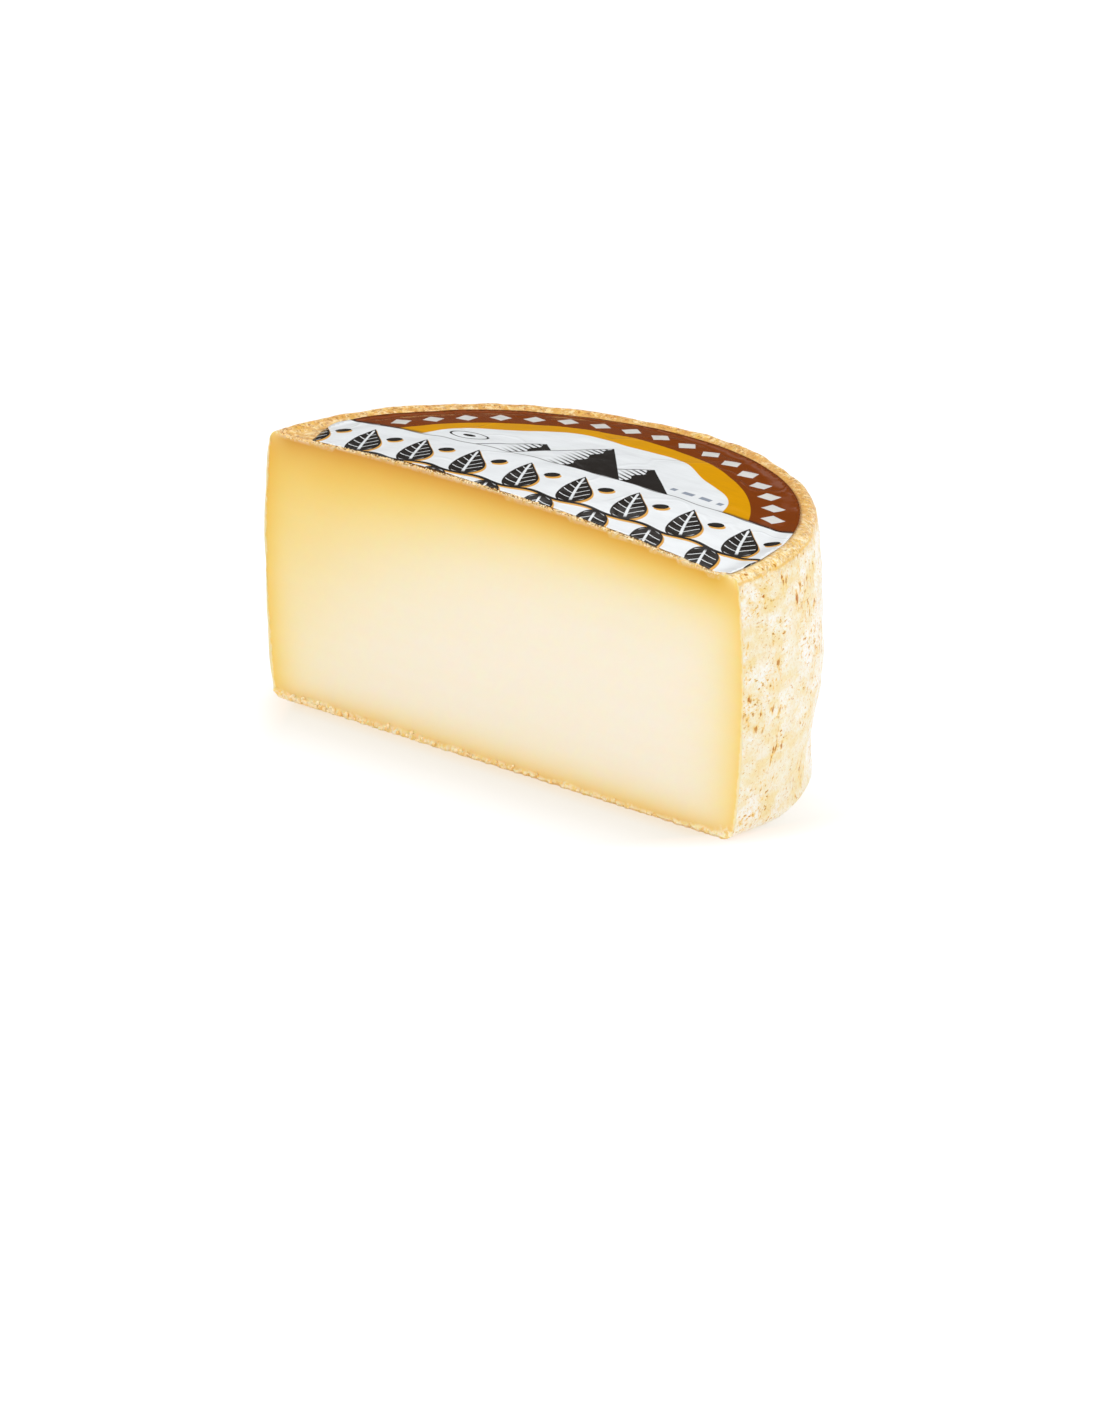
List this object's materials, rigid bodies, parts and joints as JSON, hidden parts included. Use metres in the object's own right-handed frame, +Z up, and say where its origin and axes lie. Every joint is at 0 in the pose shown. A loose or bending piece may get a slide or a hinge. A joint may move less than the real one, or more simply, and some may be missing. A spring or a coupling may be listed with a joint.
{
  "type": "half wheel of goat cheese",
  "caption": "Half wheel of pressed goat's cheese standing on its base, with a flat pale cut face, a thin rough golden rind and a half-round printed paper label on top.",
  "frame": {"origin": "on the base, at the middle of the object's box seen from above", "axes": "+Z up; the cut face looks along -Y; +X runs along the cut to the right, seen from the front, and the rind is at +Y"},
  "size_m": [0.2002, 0.1022, 0.0907],
  "materials": {
    "cheese": "moist ivory paste with a golden margin, and a dry, pitted, cream to tan rind",
    "label": "glossy printed paper, white with brown and gold bands"
  },
  "bodies": {
    "root": {"cheese": "cheese", "label": "label"}
  },
  "joints": []
}
